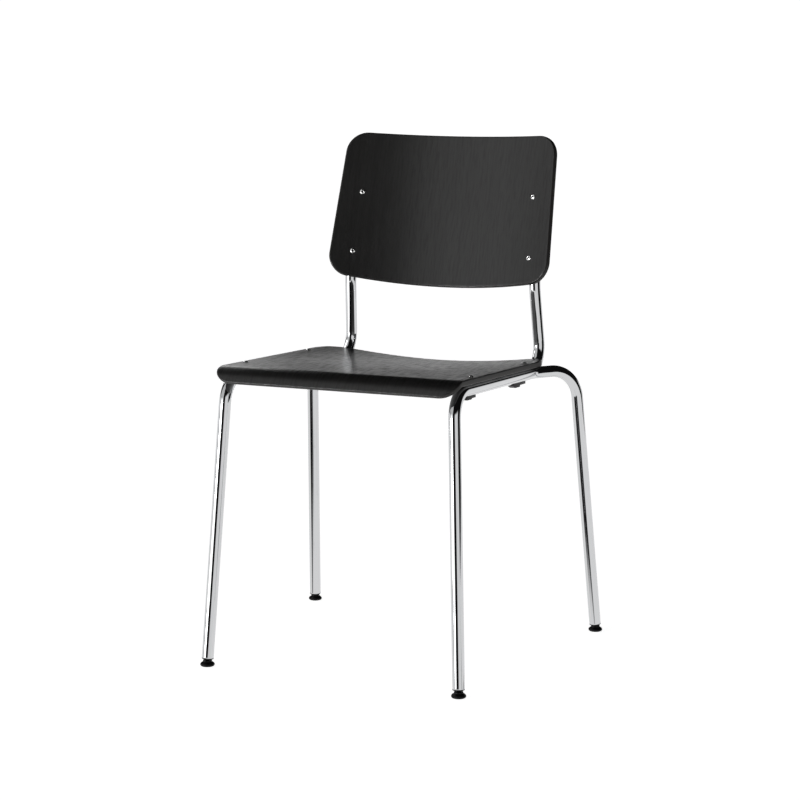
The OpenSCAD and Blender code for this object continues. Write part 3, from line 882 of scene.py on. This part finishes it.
class CHAIR_OT_glides(bpy.types.Operator):
    """Make the four tilting glides: a ball stud in each leg and the foot that holds it"""
    bl_idname = "chair.glides"
    bl_label = "Glides"
    bl_options = {"REGISTER", "UNDO"}

    def stud(self, row, side):
        """From the ball up through its neck and the flange under the tube, into the bore."""
        t, centre = setting("tubes"), ball(row, side)
        r, bore, flange = t.tube_d / 2, t.bore_d / 2 - SLIDE, LEG_END - GLIDE_FLANGE
        bulb = [(BALL_R * math.cos(a), BALL_R * math.sin(a))
                for a in (math.radians(d) for d in range(-80, 56, 9))]
        stem = [(GLIDE_NECK, 0.0041), (GLIDE_NECK, flange), (r - 0.0004, flange), (r, flange + 0.0004),
                (r, LEG_END), (bore, LEG_END), (bore, LEG_END + STUD_DEPTH - 0.002),
                (bore - 0.001, LEG_END + STUD_DEPTH)]
        return lathe_mesh(bulb + stem, pointing(centre, leg_top(row, side) - centre))

    def foot(self, row, side):
        """From the sole, round the rim and up to the collar, then down into the cup."""
        place = ball(row, side)
        r, collar = FOOT_R, place.z + COLLAR_H
        outer = softened([(0.0002, 0), (r * 0.76, 0), (r * 0.93, 0.0009), (r, 0.0026), (r, 0.0034),
                          (r * 0.93, 0.005), (r * 0.78, 0.0063), (0.0072, 0.007), (0.0069, collar - 0.0005),
                          (0.0064, collar), (0.0050, collar)], 0.0012)
        mouth = [(0.0049, collar - 0.0001), (0.0038, collar - 0.0006)]
        cup = [(CUP_R * math.cos(a), place.z + CUP_R * math.sin(a))
               for a in (math.radians(d) for d in range(32, -86, -9))]
        return lathe_mesh(outer + mouth + cup, Matrix.Translation((place.x, place.y, 0)))

    def execute(self, context):
        for row in ("front", "rear"):
            for side in SIDES:
                for name, node, body, (verts, faces) in (
                        ("glide_stud", "glide_insert", CHAIR, self.stud(row, side)),
                        ("glide_pad", "glide_foot", f"foot_{row}_{side}", self.foot(row, side))):
                    piece = add_piece(f"{name}_{row}_{side}", verts, faces, [finish("plastic")], body,
                                      "black_plastic", f"{node}_{row}_{side}")
                    crease(piece, 50)
        return {"FINISHED"}


class CHAIR_OT_studio(bpy.types.Operator):
    """Make the pale floor, the soft light round the chair and the camera"""
    bl_idname = "chair.studio"
    bl_label = "Studio"
    bl_options = {"REGISTER", "UNDO"}

    def stage_mesh(self, name, verts, faces, material):
        mesh = bpy.data.meshes.new(name)
        mesh.from_pydata(verts, [], faces)
        mesh.materials.append(material)
        thing = bpy.data.objects.new(name, mesh)
        bpy.context.scene.collection.objects.link(thing)
        return thing

    def make_floor(self):
        """White paper with a glow of its own, which reflections don't see."""
        half = 14.0
        material, make = blank_material("studio_paper")
        glow = make.node("ShaderNodeEmission", None,
                         {"Color": (1, 1, 1), "Strength": setting("studio").floor_glow})
        paper = make.node("ShaderNodeBsdfDiffuse", None, {"Color": (0.85, 0.85, 0.85)})
        both = make.node("ShaderNodeAddShader", None, {0: glow, 1: paper})
        make.node("ShaderNodeOutputMaterial", None, {"Surface": both})
        floor = self.stage_mesh("studio_floor", [(-half, -half, 0), (half, -half, 0), (half, half, 0),
                                                 (-half, half, 0)], [(0, 1, 2, 3)], material)
        floor.visible_glossy = False

    def make_card(self, name, reach, turn, height, strength):
        """A level card that only reflections see: part of a ring round the chair, glowing evenly."""
        steps = 24
        angles = [math.radians(turn[0] + (turn[1] - turn[0]) * k / steps) for k in range(steps + 1)]
        verts = [(r * math.sin(a), -r * math.cos(a), height) for r in reach for a in angles]
        faces = [(k, k + 1, k + steps + 2, k + steps + 1) for k in range(steps)]
        material, make = blank_material(name)
        glow = make.node("ShaderNodeEmission", None, {"Color": (1, 1, 1), "Strength": strength})
        make.node("ShaderNodeOutputMaterial", None, {"Surface": glow})
        card = self.stage_mesh(name, verts, faces, material)
        card.visible_camera = card.visible_diffuse = card.visible_shadow = False

    def make_world(self):
        """Light by direction: a pale lower half and backdrop, then cards laid over each other.
        phi is the angle round from the camera's side, to its right, and height the angle up, in degrees."""
        world = bpy.data.worlds.new("studio_light")
        world.use_nodes = True
        bpy.context.scene.world = world
        make = Shader(world.node_tree)
        split = make.node("ShaderNodeSeparateXYZ", None, {0: make.node("ShaderNodeTexCoord")})
        x, y, z = (Val(make, split.socket.node.outputs[i]) for i in range(3))
        height = z.math("ARCSINE") * (180 / math.pi)
        turned = x.math("ARCTAN2", -y) * (180 / math.pi) - math.degrees(setting("studio").camera_turn)
        phi = (turned + 540).math("MODULO", 360) - 180

        def card(light, around, up, value, soft):
            """Lays a card over the light. soft holds half widths of its left, right, low and high edges."""
            on = make.step(phi, around[0] - soft[0], around[0] + soft[0])
            on = on * (1 - make.step(phi, around[1] - soft[1], around[1] + soft[1]))
            on = on * make.step(height, up[0] - soft[2], up[0] + soft[2])
            on = on * (1 - make.step(height, up[1] - soft[3], up[1] + soft[3]))
            return light * (1 - on) + on * value

        light = 0.006 + 0.964 * (1 - make.step(height, -12.5, -10.5))
        behind = make.step((phi - 9).math("ABSOLUTE"), 89, 105) * (1 - make.step(height, 4, 11.5))
        light = light + (0.97 - light) * behind
        for around, up, value, soft in (
                ((57, 110), (-13.5, 16), 0.006, (3, 3, 1, 4)),           # dark gap to the right
                ((3, 57), (-16, 17), 0.92, (3, 3, 1, 5)),                # white card to the right
                ((-78, -38), (-11, 38), 1.65, (8, 4, 1, 4)),             # tall soft box to the left
                ((-102, -40), (12, 62), 0.65, (4, 6, 4, 6)),             # its dimmer upper part
                ((-65, -51), (-8, 3), 22.0, (2, 2, 2, 2)),               # lamp low in the soft box
                ((-70, -3), (-25.5, -18.4), 0.004, (8, 5, 1.2, 0.8))):   # dark strip along the floor's edge
            light = card(light, around, up, value, soft)
        camera_ray = make.node("ShaderNodeLightPath")
        seen = make.node("ShaderNodeMix", {"data_type": "FLOAT"}, {0: camera_ray, 2: light, 3: 1.05})
        sky = make.node("ShaderNodeBackground", None, {"Color": (1, 1, 1), "Strength": seen})
        make.node("ShaderNodeOutputWorld", None, {"Surface": sky})

    def make_camera(self):
        s = setting("studio")
        data = bpy.data.cameras.new("camera")
        data.lens = s.lens
        data.sensor_width = 36
        camera = bpy.data.objects.new("camera", data)
        turn = Matrix.Rotation(s.camera_turn, 4, "Z") @ Matrix.Rotation(math.pi / 2 - s.camera_pitch, 4, "X")
        camera.matrix_world = (Matrix.Translation(s.camera_place) @ turn
                               @ Matrix.Rotation(s.camera_roll, 4, "Z"))
        bpy.context.scene.collection.objects.link(camera)
        bpy.context.scene.camera = camera
        bpy.context.scene.view_settings.view_transform = "Standard"

    def execute(self, context):
        self.make_floor()
        for name, reach, turn, height, strength in (
                ("studio_sweep_right", (0.9, 3.5), (78, 140), -0.13, 0.97),
                ("studio_glow_left", (1.15, 4.0), (-56, -16), -0.02, 2.2),
                ("studio_fill", (0.38, 0.72), (-128, -82), 0.66, 3.0)):
            self.make_card(name, reach, turn, height, strength)
        self.make_world()
        self.make_camera()
        return {"FINISHED"}


OPERATORS = (CHAIR_OT_side_tubes, CHAIR_OT_upright_tubes, CHAIR_OT_cross_tubes, CHAIR_OT_seat,
             CHAIR_OT_backrest, CHAIR_OT_screws, CHAIR_OT_inserts, CHAIR_OT_bumpers, CHAIR_OT_tube_plugs,
             CHAIR_OT_glides, CHAIR_OT_studio)


class CHAIR_PT_panel(bpy.types.Panel):
    """Sizes, finishes and the buttons that make each group of pieces"""
    bl_label = "Stacking chair"
    bl_idname = "CHAIR_PT_panel"
    bl_space_type = "VIEW_3D"
    bl_region_type = "UI"
    bl_category = "Chair"

    def draw(self, context):
        for operator in OPERATORS:
            self.layout.operator(operator.bl_idname)
        for group in GROUPS:
            box = self.layout.box()
            box.label(text=group.capitalize())
            values = setting(group)
            for name in values.bl_rna.properties.keys():
                if name not in ("rna_type", "name"):
                    box.prop(values, name)


def register():
    for cls in (*GROUPS.values(), *OPERATORS, CHAIR_PT_panel):
        bpy.utils.register_class(cls)
    for group, cls in GROUPS.items():
        setattr(bpy.types.Scene, "chair_" + group, PointerProperty(type=cls))


def unregister():
    for group in GROUPS:
        delattr(bpy.types.Scene, "chair_" + group)
    for cls in reversed((*GROUPS.values(), *OPERATORS, CHAIR_PT_panel)):
        bpy.utils.unregister_class(cls)


def main():
    """Makes every piece and the stage."""
    register()
    for operator in OPERATORS:
        family, name = operator.bl_idname.split(".")
        getattr(getattr(bpy.ops, family), name)()


if __name__ == "__main__":
    main()
